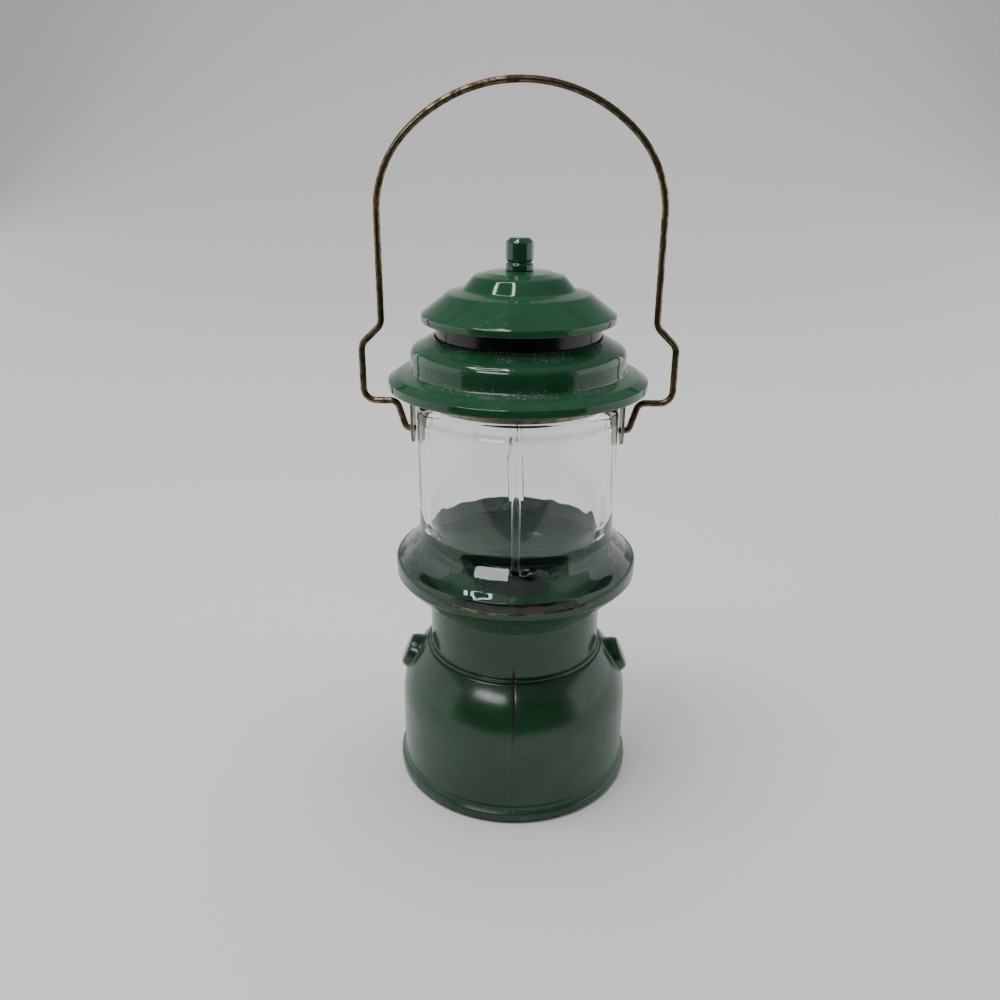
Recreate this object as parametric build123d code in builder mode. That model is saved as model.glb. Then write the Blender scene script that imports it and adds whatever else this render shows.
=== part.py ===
"""Lantern-shaped glass decanter: a one-piece moulded bottle that looks like a camping lantern,
a sprayed green enamel skin on its lower half, a stamped ring that carries a swinging wire bail,
and a screw cap built like a lantern's ventilator.

Millimetres, +Z up, the origin is the middle of the foot on the table, the bail swings about X.
"""
import os
from math import asin, cos, radians, sin, sqrt, tan

from build123d import *

os.makedirs("parts", exist_ok=True)

# ---- driving dimensions ------------------------------------------------------------------
enamel = 0.3            # thickness of the green skin over the glass
clear = 0.05            # gap between parts that only rest against each other

# bottle, outside of the glass as (radius, height)
foot_r = 31.1
foot_h = 3.3
drum_r = 29.9
drum_top = 21.2         # where the straight wall of the fount ends and the shoulder begins
shoulder_r = 20.0       # radius of the shoulder's curve
shoulder_edge_r = 23.2
waist_r = 21.85
waist_bottom = 37.5
waist_top = 49.8
rim_r = 30.5
rim_low = 58.4
paint_line = 60.0       # the enamel stops here, on the edge of the flange
globe_r = 24.6
globe_bottom = 68.2
globe_top = 99.6
collar_r = 21.6         # narrow collar above the globe that carries the bail ring
collar_bottom = 102.4
collar_top = 105.2
foot_ring_r = 26.5      # inner edge of the flat ring that the bottle stands on
push_up = 1.8           # how far the middle of the underside is domed in

# bottle, inside of the glass
neck_r = 12.5
neck_bottom = 107.2
neck_top = 117.0
bore_r = 9.5
globe_bore_r = 22.2
waist_bore_r = 19.3
drum_bore_r = 27.3
floor_z = 5.2

# screw thread shared by the neck and the cap
pitch = 4.2
thread_depth = 1.15
thread_turns = 1.2
thread_start = 109.9
thread_offset = 1.55    # how far the cap's thread runs below the neck's when the cap is tight
thread_root_w = 1.9
thread_crest_w = 0.9
thread_gap = 0.3        # radial room between the two threads

# filler cap and valve bosses moulded on the shoulder
boss_r = 4.3            # of the flat face; the sides widen inward by the draft angle
boss_draft = 14.0       # degrees
boss_depth = 3.6        # from the face to where the boss ends inside the shoulder's wall
boss_face = (28.97, 31.73)
boss_tilt = 20.0        # degrees above the horizontal

# rib that imitates the globe's guard wire, on the mould's parting line
rib_r = 1.4
rib_sink = 0.5

# bail ring and bail
ring_wall = 0.6
ring_gap = 0.1
ring_h = 2.0
ear_x = 25.3
ear_w = 7.0
pivot_z = 95.0
wire_r = 0.8
pivot_play = 0.08
end_x = 24.85           # tip of the wire behind the ear
hook_x = 27.3
shelf_x = 29.4
shelf_z = 101.9
bow_x = 37.4
bow_top = 115.6
leg_x = 32.5
leg_bottom = 120.3
leg_top = 145.2
side_arc_r = 24.0
top_arc_r = 36.0

# cap: ventilator drum with its brim, hood, core, knob and sealing disc
wall = 1.5
brim_r = 31.06
brim_bottom = 106.3
brim_edge = 107.8
vent_r = 25.7
vent_bottom = 110.3
vent_shoulder = 115.2
vent_top = 118.4
vent_hole_r = 19.8
core_r = 19.6
core_skirt_r = 16.2
core_bottom = 106.6
core_flange_r = 22.6
core_flange_z = 112.6
core_top = 123.6
seal_h = 1.1
ceiling_z = neck_top + seal_h + 2 * clear
hood_r = 22.96
hood_bottom = 121.7
hood_edge = 123.3
hood_ledge = (16.7, 128.1)
hood_dome_foot = (13.4, 129.0)
hood_dome_edge = (10.3, 131.7)
hood_crown = (3.4, 133.0)
stud_r = 2.2
knob_r = 3.2
knob_collar_r = 3.3
knob_top = 140.3


def shoulder_z(radius):
    """Height of the shoulder's curve where it has this radius from the axis."""
    return drum_top + sqrt(shoulder_r ** 2 - (radius - drum_r + shoulder_r) ** 2)


def lower_outline(skin):
    """Outline of the fount, waist and flange, from the foot up to the paint line; skin is added outside."""
    arc_start = (drum_r + skin, drum_top)
    mid_angle = radians(24)
    arc_mid = (drum_r - shoulder_r + (shoulder_r + skin) * cos(mid_angle),
               drum_top + (shoulder_r + skin) * sin(mid_angle))
    arc_end = (shoulder_edge_r + skin, shoulder_z(shoulder_edge_r))
    Line((foot_r + skin, 0.9), (foot_r + skin, foot_h - 0.7))
    Line((foot_r + skin, foot_h - 0.7), (foot_r - 0.6 + skin, foot_h))
    Line((foot_r - 0.6 + skin, foot_h), (drum_r + 0.2 + skin, foot_h + 0.4))
    Line((drum_r + 0.2 + skin, foot_h + 0.4), (drum_r + 0.2 + skin, foot_h + 1.0))
    Line((drum_r + 0.2 + skin, foot_h + 1.0), (drum_r + skin, foot_h + 1.5))
    Line((drum_r + skin, foot_h + 1.5), arc_start)
    ThreePointArc(arc_start, arc_mid, arc_end)
    Line(arc_end, (waist_r + 0.7 + skin, arc_end[1] + 0.4))
    Line((waist_r + 0.7 + skin, arc_end[1] + 0.4), (waist_r + 0.7 + skin, waist_bottom - 0.3))
    Line((waist_r + 0.7 + skin, waist_bottom - 0.3), (waist_r + skin, waist_bottom + 0.1))
    Line((waist_r + skin, waist_bottom + 0.1), (waist_r + skin, waist_top))
    Line((waist_r + skin, waist_top), (rim_r - 0.9 + skin, rim_low - 1.0))
    ThreePointArc((rim_r - 0.9 + skin, rim_low - 1.0), (rim_r - 0.2 + skin, rim_low), (rim_r + skin, paint_line))


def boss_plane(side):
    """Plane where one boss begins inside the wall, looking out along the boss."""
    out = Vector(side * cos(radians(boss_tilt)), 0, sin(radians(boss_tilt)))
    face = Vector(side * boss_face[0], 0, boss_face[1])
    return Plane(origin=face - out * boss_depth, x_dir=(0, 1, 0), z_dir=out)


def boss_root(skin):
    """Radius of a boss where it begins, for a face that is skin wider."""
    return boss_r + skin + (boss_depth + skin) * tan(radians(boss_draft))


def helical_ridge(root_r, depth, start_z):
    """One thread ridge on a cylinder of root_r; a negative depth points inward."""
    path = Helix(pitch=pitch, height=pitch * thread_turns, radius=root_r)
    with BuildPart(mode=Mode.PRIVATE) as ridge:
        with BuildSketch(Plane(origin=(root_r, 0, 0), x_dir=(1, 0, 0), z_dir=(0, 1, 0))):
            with BuildLine():
                Polyline((0, thread_root_w / 2), (depth, thread_crest_w / 2), (depth, -thread_crest_w / 2),
                         (0, -thread_root_w / 2), close=True)
            make_face()
        sweep(path=path, is_frenet=True)
    return ridge.part.moved(Location((0, 0, start_z)))


# ---- bottle ------------------------------------------------------------------------------
with BuildPart() as glass_bottle:
    with BuildSketch(Plane.XZ):
        with BuildLine():
            ThreePointArc((0, push_up), (foot_ring_r * 0.6, push_up * 0.7), (foot_ring_r, 0))
            Line((foot_ring_r, 0), (foot_r - 0.9, 0))
            Line((foot_r - 0.9, 0), (foot_r, 0.9))
            lower_outline(0)
            ThreePointArc((rim_r, paint_line), (rim_r - 0.35, paint_line + 0.9), (rim_r - 1.1, paint_line + 1.6))
            ThreePointArc((rim_r - 1.1, paint_line + 1.6), (globe_r + 3.0, globe_bottom - 4.0),
                          (globe_r + 1.0, globe_bottom - 1.7))
            ThreePointArc((globe_r + 1.0, globe_bottom - 1.7), (globe_r + 0.3, globe_bottom - 0.9),
                          (globe_r, globe_bottom))
            Line((globe_r, globe_bottom), (globe_r, globe_top))
            ThreePointArc((globe_r, globe_top), (globe_r - 0.8, globe_top + 2.0), (collar_r + 0.3, collar_bottom))
            Polyline((collar_r + 0.3, collar_bottom), (collar_r, collar_bottom + 0.1), (collar_r, collar_top),
                     (neck_r + 1.0, neck_bottom - 0.8), (neck_r, neck_bottom), (neck_r, neck_top - 0.6),
                     (neck_r - 0.6, neck_top), (bore_r, neck_top), (bore_r, neck_bottom - 0.6))
            ThreePointArc((bore_r, neck_bottom - 0.6), (bore_r + 0.9, neck_bottom - 2.6),
                          (bore_r + 3.2, neck_bottom - 3.5))
            Line((bore_r + 3.2, neck_bottom - 3.5), (globe_bore_r - 4.2, globe_top + 2.2))
            ThreePointArc((globe_bore_r - 4.2, globe_top + 2.2), (globe_bore_r - 1.1, globe_top + 0.6),
                          (globe_bore_r, globe_top - 2.0))
            Line((globe_bore_r, globe_top - 2.0), (globe_bore_r, globe_bottom - 0.5))
            ThreePointArc((globe_bore_r, globe_bottom - 0.5), (globe_bore_r - 0.6, rim_low + 1.0),
                          (waist_bore_r + 0.6, waist_top + 1.2))
            Line((waist_bore_r + 0.6, waist_top + 1.2), (waist_bore_r, waist_top - 0.6))
            Line((waist_bore_r, waist_top - 0.6), (waist_bore_r, waist_bottom + 1.0))
            ThreePointArc((waist_bore_r, waist_bottom + 1.0), (waist_bore_r + 0.7, waist_bottom - 1.4),
                          (waist_bore_r + 2.2, waist_bottom - 3.4))
            ThreePointArc((waist_bore_r + 2.2, waist_bottom - 3.4), (drum_bore_r - 1.6, drum_top + 7.2),
                          (drum_bore_r, drum_top))
            Line((drum_bore_r, drum_top), (drum_bore_r, floor_z + 3.6))
            ThreePointArc((drum_bore_r, floor_z + 3.6), (drum_bore_r - 1.1, floor_z + 1.0),
                          (drum_bore_r - 3.8, floor_z))
            Line((drum_bore_r - 3.8, floor_z), (0, floor_z + push_up * 0.6))
            Line((0, floor_z + push_up * 0.6), (0, push_up))
        make_face()
    revolve(axis=Axis.Z)
    for side in (-1, 1):
        with BuildSketch(boss_plane(side)):
            Circle(boss_root(0))
        extrude(amount=boss_depth, taper=boss_draft)
    for face in (-1, 1):
        with BuildSketch(Plane.XY.offset(globe_bottom - 1.2)):
            with Locations((0, face * (globe_r - rib_sink))):
                Circle(rib_r)
        extrude(amount=globe_top - globe_bottom + 0.6)
glass_bottle.part.label = "glass_bottle"

# ---- neck thread, moulded on the neck ------------------------------------------------------
with BuildPart() as neck_thread:
    add(helical_ridge(neck_r, thread_depth, thread_start))
neck_thread.part.label = "neck_thread"

# ---- green enamel skin ---------------------------------------------------------------------
with BuildPart() as green_enamel:
    with BuildSketch(Plane.XZ):
        with BuildLine():
            lower_outline(enamel)
            Line((rim_r + enamel, paint_line), (rim_r - 4, paint_line))
            Line((rim_r - 4, paint_line), (waist_r - 2, waist_top))
            Line((waist_r - 2, waist_top), (waist_r - 2, 0.9))
            Line((waist_r - 2, 0.9), (foot_r + enamel, 0.9))
        make_face()
    revolve(axis=Axis.Z)
    for side in (-1, 1):
        with BuildSketch(boss_plane(side)):
            Circle(boss_root(enamel))
        extrude(amount=boss_depth + enamel, taper=boss_draft)
    with BuildSketch(Plane.XZ):
        with BuildLine():
            lower_outline(0)
            Line((rim_r, paint_line), (0, paint_line))
            Line((0, paint_line), (0, 0.9))
            Line((0, 0.9), (foot_r, 0.9))
        make_face()
    revolve(axis=Axis.Z, mode=Mode.SUBTRACT)
    for side in (-1, 1):
        with BuildSketch(boss_plane(side)):
            Circle(boss_root(0))
        extrude(amount=boss_depth, taper=boss_draft, mode=Mode.SUBTRACT)
green_enamel.part.label = "green_enamel"

# ---- stamped ring with its two ears --------------------------------------------------------
ring_r = collar_r + ring_gap
ring_z = collar_bottom + 0.3
shelf_top = ring_z + ring_h
with BuildPart() as bail_ring:
    with BuildSketch(Plane.XY.offset(ring_z)):
        Circle(ring_r + ring_wall)
        Circle(ring_r, mode=Mode.SUBTRACT)
    extrude(amount=ring_h)
    for side in (-1, 1):
        with BuildSketch(Plane.XY.offset(shelf_top - ring_wall)):
            with Locations((side * (ring_r + ear_x + ring_wall) / 2 + side * 0.1, 0)):
                Rectangle(ear_x + ring_wall - ring_r - 0.2, ear_w)
        extrude(amount=ring_wall)
        with BuildSketch(Plane.YZ.offset(side * (ear_x + ring_wall / 2))):
            with Locations((0, (shelf_top + pivot_z) / 2)):
                Rectangle(ear_w, shelf_top - pivot_z)
            with Locations((0, pivot_z)):
                Circle(ear_w / 2)
                Circle(wire_r + pivot_play, mode=Mode.SUBTRACT)
        extrude(amount=ring_wall / 2, both=True)
bail_ring.part.label = "bail_ring"

# ---- wire bail -----------------------------------------------------------------------------
arc_x = leg_x - side_arc_r
arc_drop = sqrt((top_arc_r - side_arc_r) ** 2 - arc_x ** 2)
top_arc_z = leg_top - arc_drop
join_turn = asin(arc_x / (top_arc_r - side_arc_r))
join = (top_arc_r * sin(join_turn), top_arc_z + top_arc_r * cos(join_turn))
apex_z = top_arc_z + top_arc_r
half_turn = (radians(90) - join_turn) / 2
side_mid = (arc_x + side_arc_r * cos(half_turn), leg_top + side_arc_r * sin(half_turn))
with BuildPart() as bail_wire:
    with BuildLine(Plane.XZ) as bail_path:
        foot_line = FilletPolyline((end_x, pivot_z), (hook_x, pivot_z), (shelf_x, shelf_z), (bow_x, shelf_z),
                                   (bow_x, bow_top), (leg_x, leg_bottom), (leg_x, leg_top),
                                   radius=[1.2, 2.2, 3.0, 3.2, 3.6])
        ThreePointArc((leg_x, leg_top), side_mid, join)
        ThreePointArc(join, (0, apex_z), (-join[0], join[1]))
        ThreePointArc((-join[0], join[1]), (-side_mid[0], side_mid[1]), (-leg_x, leg_top))
        mirror(foot_line, about=Plane.YZ)
    with BuildSketch(Plane(origin=(end_x, 0, pivot_z), z_dir=(1, 0, 0))):
        Circle(wire_r)
    sweep(path=bail_path.wire())
bail_wire.part.label = "bail_wire"

# ---- cap: core with the screw thread -------------------------------------------------------
crest_r = neck_r + thread_depth
skirt_bore_r = crest_r + thread_gap
boss_top = hood_crown[1] - wall - 0.55


def drum_ceiling(radius):
    """Height of the underside of the ventilator drum's sloping top."""
    rise = (vent_top - vent_shoulder - wall + 0.9) / (vent_r - wall - vent_hole_r)
    return vent_shoulder - 0.9 + rise * (vent_r - wall - radius)


with BuildPart() as cap_core:
    with BuildSketch(Plane.XZ):
        with BuildLine():
            Polyline((skirt_bore_r, core_bottom), (core_skirt_r, core_bottom), (core_skirt_r, core_flange_z),
                     (core_flange_r, core_flange_z), (core_flange_r, drum_ceiling(core_flange_r) - clear),
                     (core_r, drum_ceiling(core_r) - clear), (core_r, core_top), (core_r - wall, core_top),
                     (core_r - wall, core_flange_z + wall), (core_skirt_r, core_flange_z + wall),
                     (core_skirt_r, ceiling_z + 1.8), (stud_r + 2.4, ceiling_z + 1.8),
                     (stud_r + 2.4, boss_top), (stud_r + clear, boss_top), (stud_r + clear, ceiling_z + 2.6),
                     (0, ceiling_z + 2.6), (0, ceiling_z), (skirt_bore_r, ceiling_z), close=True)
        make_face()
    revolve(axis=Axis.Z)
cap_core.part.label = "cap_core"

# ---- cap thread, moulded inside the core ---------------------------------------------------
with BuildPart() as cap_thread:
    add(helical_ridge(skirt_bore_r, -thread_depth, thread_start - thread_offset))
cap_thread.part.label = "cap_thread"

# ---- cap: ventilator drum with its brim ----------------------------------------------------
with BuildPart() as cap_drum:
    with BuildSketch(Plane.XZ) as drum_profile:
        with BuildLine():
            Polyline((brim_r, brim_bottom), (brim_r, brim_edge), (28.8, 109.5), (vent_r, vent_bottom),
                     (vent_r, vent_shoulder), (vent_hole_r, vent_top), (vent_hole_r, vent_top - wall),
                     (vent_r - wall, vent_shoulder - 0.9), (vent_r - wall, vent_bottom - wall),
                     (28.2, 108.0), (brim_r - wall, brim_bottom + 0.7), (brim_r - wall, brim_bottom), close=True)
        make_face()
        for corner, radius in (((vent_r, vent_shoulder), 2.2), ((28.8, 109.5), 1.4), ((vent_r, vent_bottom), 0.5),
                               ((brim_r, brim_edge), 0.35), ((brim_r, brim_bottom), 0.35)):
            fillet(drum_profile.vertices().sort_by_distance(corner)[0], radius)
    revolve(axis=Axis.Z)
cap_drum.part.label = "cap_drum"

# ---- cap: hood -----------------------------------------------------------------------------
with BuildPart() as cap_hood:
    with BuildSketch(Plane.XZ) as hood_profile:
        with BuildLine():
            Polyline((hood_r, hood_bottom), (hood_r, hood_edge), hood_ledge, hood_dome_foot, hood_dome_edge,
                     hood_crown, (stud_r + 0.1, hood_crown[1]), (stud_r + 0.1, hood_crown[1] - wall),
                     (hood_dome_edge[0] - 0.7, hood_dome_edge[1] - wall),
                     (hood_dome_foot[0] - 0.7, hood_dome_foot[1] - wall),
                     (hood_ledge[0] - 0.5, hood_ledge[1] - wall - 0.2),
                     (hood_r - wall, hood_edge - 0.6), (hood_r - wall, hood_bottom), close=True)
        make_face()
        for corner, radius in (((hood_r, hood_edge), 0.4), (hood_ledge, 1.6), (hood_dome_foot, 0.8),
                               (hood_dome_edge, 0.7), ((hood_r, hood_bottom), 0.4)):
            fillet(hood_profile.vertices().sort_by_distance(corner)[0], radius)
    revolve(axis=Axis.Z)
cap_hood.part.label = "cap_hood"

# ---- cap: knob with the stud that holds the hood -------------------------------------------
knob_foot = hood_crown[1]
with BuildPart() as cap_knob:
    with BuildSketch(Plane.XZ):
        with BuildLine():
            Polyline((0, ceiling_z + 2.8), (stud_r, ceiling_z + 2.8), (stud_r, knob_foot + clear),
                     (knob_collar_r, knob_foot + clear), (knob_collar_r, knob_foot + 1.2),
                     (knob_r - 0.5, knob_foot + 1.6), (knob_r - 0.5, knob_foot + 2.0),
                     (knob_r, knob_foot + 2.3), (knob_r, knob_top - 1.0), (knob_r - 0.9, knob_top),
                     (0, knob_top), close=True)
        make_face()
    revolve(axis=Axis.Z)
cap_knob.part.label = "cap_knob"

# ---- cap: sealing disc -----------------------------------------------------------------------
with BuildPart() as cap_liner:
    with BuildSketch(Plane.XY.offset(neck_top + clear)):
        Circle(crest_r)
    extrude(amount=seal_h)
cap_liner.part.label = "cap_liner"

for piece in (glass_bottle, neck_thread, green_enamel, bail_ring, bail_wire, cap_core, cap_thread, cap_drum,
              cap_hood, cap_knob, cap_liner):
    export_step(piece.part, f"parts/{piece.part.label}.step")
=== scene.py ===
"""Looks of the lantern-shaped decanter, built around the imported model.

Metres, same frame as the model: +Z up, origin under the middle of the foot, -Y is the front.
Profiles are written in millimetres and scaled once, by MM.
"""
from math import asin, atan2, ceil, cos, exp, pi, radians, sin, sqrt, tan

import bmesh
import bpy
from mathutils import Matrix, Vector, noise


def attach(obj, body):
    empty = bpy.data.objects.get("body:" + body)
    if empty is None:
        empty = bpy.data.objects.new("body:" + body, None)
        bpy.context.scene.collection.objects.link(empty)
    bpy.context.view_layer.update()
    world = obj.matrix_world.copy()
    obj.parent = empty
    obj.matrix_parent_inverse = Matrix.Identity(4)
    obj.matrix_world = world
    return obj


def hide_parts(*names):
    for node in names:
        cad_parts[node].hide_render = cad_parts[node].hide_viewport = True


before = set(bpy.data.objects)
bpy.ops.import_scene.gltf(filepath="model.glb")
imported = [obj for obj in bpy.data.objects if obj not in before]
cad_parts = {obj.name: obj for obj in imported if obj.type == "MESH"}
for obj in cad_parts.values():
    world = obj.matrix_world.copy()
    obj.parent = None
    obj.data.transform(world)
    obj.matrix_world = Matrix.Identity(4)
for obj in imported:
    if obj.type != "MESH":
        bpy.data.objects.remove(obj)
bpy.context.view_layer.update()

MM = 0.001
SEAM_ANGLES = (-pi / 2, pi / 2)       # the mould opens along the YZ plane

# ---- dimensions, mm -------------------------------------------------------------------------
ENAMEL = 0.3
ENAMEL_BITE = 0.05                    # how far the enamel sits into the glass, so that no air is between
FOOT_R, FOOT_H = 31.1, 3.3
DRUM_R, DRUM_TOP, SHOULDER_R = 29.9, 21.2, 20.0
SHOULDER_EDGE_R = 23.2
WAIST_R, WAIST_LOW, WAIST_HIGH = 21.85, 37.5, 49.8
RIM_R, RIM_LOW, PAINT_LINE, RIM_HIGH, FLANGE_MID = 30.5, 58.4, 60.0, 62.4, 64.0
PAINT_RISE = 2.8                      # how much higher the paint runs at the back and sides than in front
GLOBE_R, GLOBE_LOW, GLOBE_HIGH = 24.6, 68.2, 99.6
COLLAR_R, COLLAR_LOW, COLLAR_HIGH = 21.6, 102.4, 105.2
NECK_R, NECK_LOW, NECK_TOP, BORE_R = 12.5, 107.2, 117.0, 9.5
GLOBE_BORE, WAIST_BORE, DRUM_BORE = 22.2, 19.3, 27.3
FLOOR_Z, PUSH_UP, FOOT_RING_R = 5.2, 1.8, 26.5
RIB_HALF, RIB_PROUD, RIB_LOW, RIB_HIGH = 0.9, 0.85, 68.2, 98.4
BOSS_FACE, BOSS_TILT, BOSS_DRAFT, BOSS_R = (29.2, 32.4), 23, 14, 4.3
PIVOT_Z, WIRE_R = 95.0, 0.8
BRIM_R, BRIM_LOW, BRIM_EDGE = 31.06, 106.3, 108.2
VENT_R, VENT_LOW, VENT_SHOULDER, VENT_TOP, VENT_HOLE_R = 25.7, 110.3, 115.2, 118.4, 19.8
CORE_R, CORE_TOP, CORE_FLANGE_R, CORE_FLANGE_Z, CORE_LOW = 19.6, 123.6, 22.6, 112.6, 106.6
CORE_SKIRT_R, SKIRT_BORE_R, CEILING_Z = 16.2, 13.95, 118.2
HOOD_R, HOOD_LOW, HOOD_EDGE = 22.96, 121.7, 123.3
HOOD_TOP = 133.0
KNOB_R, KNOB_COLLAR_R, KNOB_TOP, STUD_R = 3.2, 3.3, 140.3, 2.2
WALL = 1.5
THREAD_START, THREAD_OFFSET, THREAD_DEPTH, THREAD_PITCH, THREAD_TURNS = 109.9, 1.55, 1.15, 4.2, 1.2
THREAD_ROOT_HALF, THREAD_CREST_HALF, THREAD_SINK, THREAD_RUN_OUT = 0.95, 0.45, 0.2, 8
SEAM_BAND, SEAM_STEPS = radians(6), 26     # either side of a seam the mesh is finer
SEAM_DEEP, SEAM_HALF, SEAM_MIDDLE, SEAM_SPAN, SEAM_FAINT = 0.34, 0.27, 32.0, 7.5, 0.15
TURNED_LOW, TURNED_HIGH, TURNED_PITCH, TURNED_DEPTH = 51.0, 57.2, 1.55, 0.07


# ---- profiles -------------------------------------------------------------------------------
def rounded(corners, step=1.0, arc_steps=5):
    """A polyline through (r, z, fillet radius) corners, with the corners rounded and the runs divided."""
    track = []
    for k, (r, z, fillet) in enumerate(corners):
        here = Vector((r, z))
        if fillet <= 0 or k == 0 or k == len(corners) - 1:
            track.append(here)
            continue
        back = (Vector(corners[k - 1][:2]) - here).normalized()
        ahead = (Vector(corners[k + 1][:2]) - here).normalized()
        half = back.angle(ahead) / 2
        middle = here + (back + ahead).normalized() * (fillet / sin(half))
        start = here + back * (fillet / tan(half))
        end = here + ahead * (fillet / tan(half))
        a = start - middle
        b = end - middle
        turn = a.angle(b)
        for i in range(arc_steps + 1):
            t = i / arc_steps
            track.append(middle + (a * sin((1 - t) * turn) + b * sin(t * turn)) / sin(turn))
    points = [track[0]]
    for p in track[1:]:
        gap = (p - points[-1]).length
        if gap < 1e-6:
            continue
        start = points[-1]
        parts = max(1, ceil(gap / step))
        points += [start.lerp(p, i / parts) for i in range(1, parts + 1)]
    return [(p.x, p.y) for p in points]


def arc_points(cx, cz, radius, a0, a1, count):
    """Points of a circular arc about (cx, cz), angles in degrees from the +r direction."""
    turn = [radians(a0 + (a1 - a0) * i / count) for i in range(count + 1)]
    return [(cx + radius * cos(a), cz + radius * sin(a)) for a in turn]


def shoulder_z(r):
    return DRUM_TOP + sqrt(SHOULDER_R ** 2 - (r - DRUM_R + SHOULDER_R) ** 2)


def lower_profile(skin):
    """Outside of foot, fount, waist and flange up to the paint line, moved out by skin."""
    s = skin
    low = rounded([(FOOT_R + s, 0.9, 0), (FOOT_R + s, FOOT_H - 0.5, 0.9), (DRUM_R + 0.45 + s, FOOT_H, 0.3),
                   (DRUM_R + 0.25 + s, FOOT_H + 0.9, 0.35), (DRUM_R + s, FOOT_H + 1.5, 0.5),
                   (DRUM_R + s, DRUM_TOP, 0)])
    centre = DRUM_R - SHOULDER_R
    top_angle = asin((shoulder_z(SHOULDER_EDGE_R) - DRUM_TOP) / SHOULDER_R) * 180 / pi
    shoulder = arc_points(centre, DRUM_TOP, SHOULDER_R + s, 0, top_angle, 30)[1:]
    end_r, end_z = shoulder[-1]
    high = rounded([(end_r, end_z, 0), (WAIST_R + 0.75 + s, end_z + 0.15, 0.25),
                    (WAIST_R + 0.70 + s, WAIST_LOW - 0.45, 0.3), (WAIST_R + s, WAIST_LOW - 0.1, 0.25),
                    (WAIST_R + s, WAIST_HIGH, 0.5), (RIM_R - 1.1 + s, RIM_LOW - 1.2, 0.6),
                    (RIM_R - 0.15 + s, RIM_LOW, 0.8), (RIM_R + s, PAINT_LINE, 0)], 0.45)[1:]
    return low + shoulder + high


def upper_profile():
    """Outside of the clear glass from the paint line to the mouth."""
    return rounded([(RIM_R, PAINT_LINE, 0), (RIM_R - 0.1, RIM_HIGH, 0.9), (RIM_R - 2.1, FLANGE_MID, 3.0),
                    (GLOBE_R + 1.9, FLANGE_MID + 2.4, 1.6), (GLOBE_R + 0.1, FLANGE_MID + 5.2, 2.0),
                    (GLOBE_R, FLANGE_MID + 7, 0), (GLOBE_R, GLOBE_HIGH + 2.3, 2.2),
                    (COLLAR_R + 0.3, COLLAR_LOW, 0), (COLLAR_R, COLLAR_LOW + 0.1, 0),
                    (COLLAR_R, COLLAR_HIGH, 0.4),
                    (NECK_R + 1, NECK_LOW - 0.8, 0.5), (NECK_R, NECK_LOW, 0.4), (NECK_R, NECK_TOP, 0.6),
                    (BORE_R, NECK_TOP, 0.6), (BORE_R, NECK_TOP - 3, 0)])[1:]


def inner_profile():
    """Inside of the glass, from the bore down to the floor of the fount."""
    return rounded([(BORE_R, NECK_TOP - 3, 0), (BORE_R, NECK_LOW - 2.6, 3.0),
                    (GLOBE_BORE - 0.9, GLOBE_HIGH + 0.6, 4.2), (GLOBE_BORE, GLOBE_LOW + 6, 14),
                    (WAIST_BORE + 1.7, GLOBE_LOW - 5, 12), (WAIST_BORE + 0.2, WAIST_HIGH + 1.2, 8),
                    (WAIST_BORE, WAIST_LOW - 1.4, 3), (DRUM_BORE, DRUM_TOP + 6.2, 13),
                    (DRUM_BORE, FLOOR_Z, 3.6), (0, FLOOR_Z + PUSH_UP * 0.6, 0)], 1.2)[1:]


def underside_profile():
    """Underside of the glass from the axis out to the edge of the enamel."""
    return rounded([(0, PUSH_UP, 0), (FOOT_RING_R - 2, 0.5, 3), (FOOT_RING_R, 0, 1), (FOOT_R - 0.2, 0, 0.7),
                    (FOOT_R, 0.9, 0)], 1.5)[:-1]


# ---- mesh helpers ---------------------------------------------------------------------------
def angles_round(count, finer=True):
    """Angles round the axis, closer together next to the mould seam."""
    steps = [2 * pi * i / count for i in range(count)]
    if finer:
        for seam in SEAM_ANGLES:
            steps = [a for a in steps if abs((a - seam + pi) % (2 * pi) - pi) > SEAM_BAND]
            for i in range(-SEAM_STEPS, SEAM_STEPS + 1):
                steps.append((seam + SEAM_BAND * i / SEAM_STEPS) % (2 * pi))
    return sorted(steps)


def mesh_object(name, bm, body, stands_for=(), sharp=50):
    bmesh.ops.recalc_face_normals(bm, faces=bm.faces)
    mesh = bpy.data.meshes.new(name)
    bm.to_mesh(mesh)
    bm.free()
    mesh.shade_smooth()
    mesh.set_sharp_from_angle(angle=radians(sharp))
    piece = bpy.data.objects.new(name, mesh)
    bpy.context.scene.collection.objects.link(piece)
    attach(piece, body)
    if stands_for:
        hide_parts(*stands_for)
    return piece


def lathe_into(bm, outline, angles, push=None, marked_from=None):
    """Adds the closed outline, in mm, turned round Z. push(r, z, angle, index) moves a point out, in mm.

    Points of the outline from number marked_from on get 1 in the layer "glass_side", the others 0.
    """
    mark = bm.verts.layers.float.new("glass_side") if marked_from else None
    rings = []
    for k, (r, z) in enumerate(outline):
        if r < 1e-6:
            rings.append([bm.verts.new((0, 0, z * MM))])
            continue
        ring = []
        for a in angles:
            out = r + (push(r, z, a, k) if push else 0)
            ring.append(bm.verts.new((out * cos(a) * MM, out * sin(a) * MM, z * MM)))
            if marked_from and k >= marked_from:
                ring[-1][mark] = 1.0
        rings.append(ring)
    n = len(angles)
    closes = outline[0][0] > 1e-6 or outline[-1][0] > 1e-6
    pairs = list(zip(rings, rings[1:])) + ([(rings[-1], rings[0])] if closes else [])
    for low, high in pairs:
        for i in range(n):
            j = (i + 1) % n
            face = [low[i % len(low)], low[j % len(low)], high[j % len(high)], high[i % len(high)]]
            unique = list(dict.fromkeys(face))
            if len(unique) > 2:
                bm.faces.new(unique)


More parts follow.
